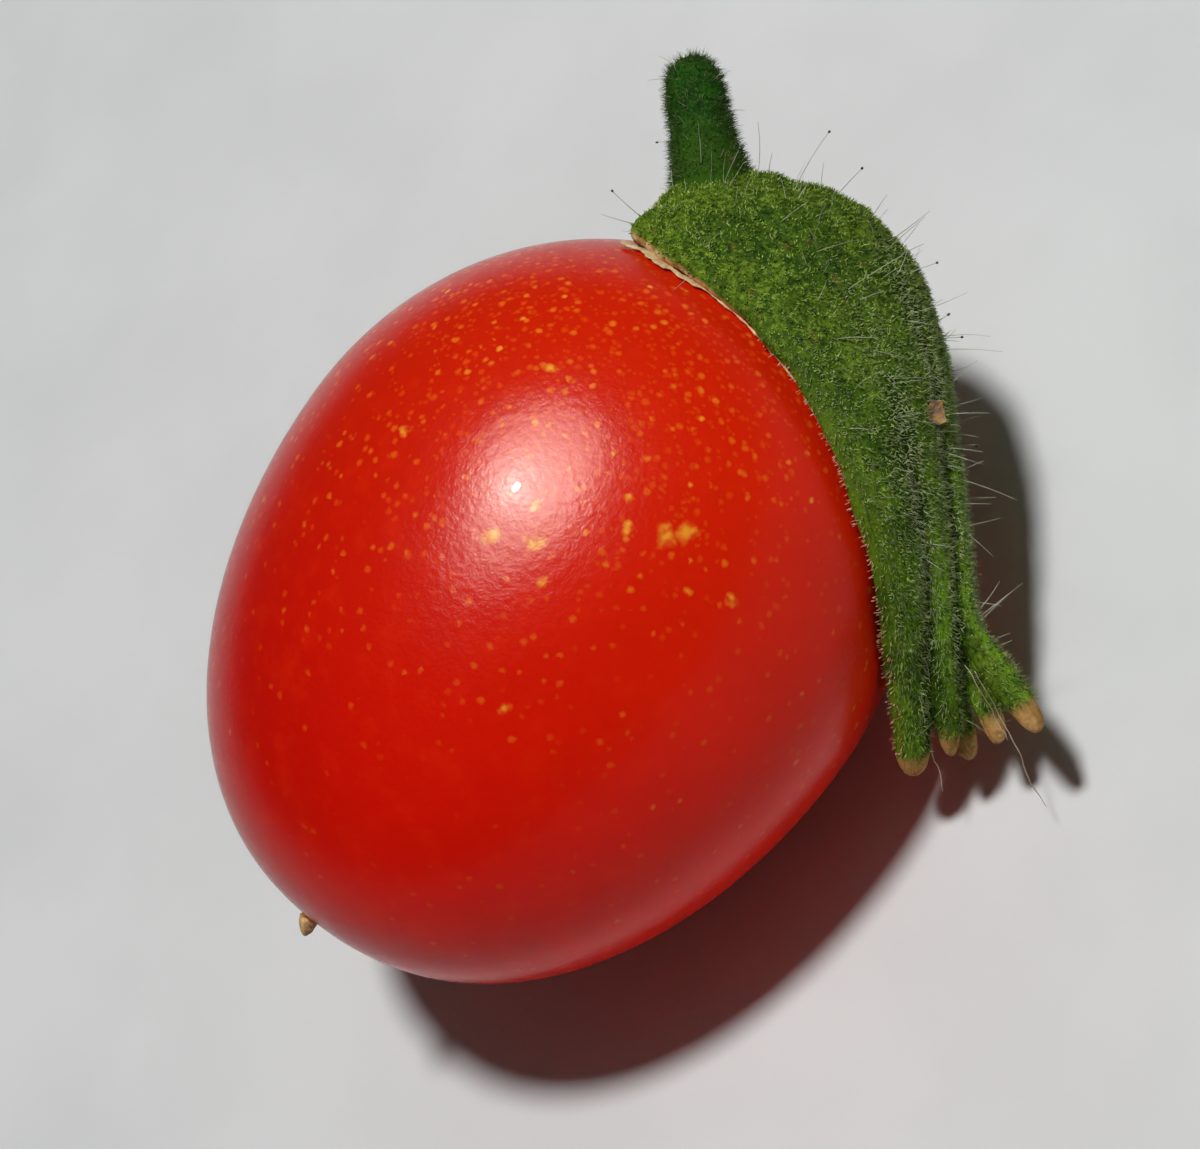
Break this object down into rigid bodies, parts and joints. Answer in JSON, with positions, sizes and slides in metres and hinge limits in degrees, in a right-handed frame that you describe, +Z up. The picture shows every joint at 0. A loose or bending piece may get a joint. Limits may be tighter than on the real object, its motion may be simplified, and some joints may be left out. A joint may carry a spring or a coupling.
{
  "type": "cherry tomato",
  "caption": "Small egg-shaped cherry tomato lying on its side, with a hairy fused green calyx swept down over its stalk end and a short stub of stalk.",
  "frame": {"origin": "on the small flat spot that the fruit rests on, under the widest part of the fruit", "axes": "+X along the fruit's long axis, towards its stalk end; +Z up, away from the surface it rests on; the lobes of the calyx hang towards -Y"},
  "size_m": [0.0299, 0.024, 0.0201],
  "materials": {
    "tomato_skin": "smooth waxy red skin, satin with a thin gloss, with small orange-yellow speckles",
    "calyx_green": "matte green leaf tissue covered with short pale hairs, with dry tan tips and a corky torn edge",
    "stalk_green": "matte dark green stalk covered with short pale hairs",
    "dry_style": "dry brown shrivelled tissue"
  },
  "bodies": {
    "root": {"fruit": "tomato_skin", "calyx": "calyx_green", "stalk": "stalk_green", "style": "dry_style"}
  },
  "joints": []
}
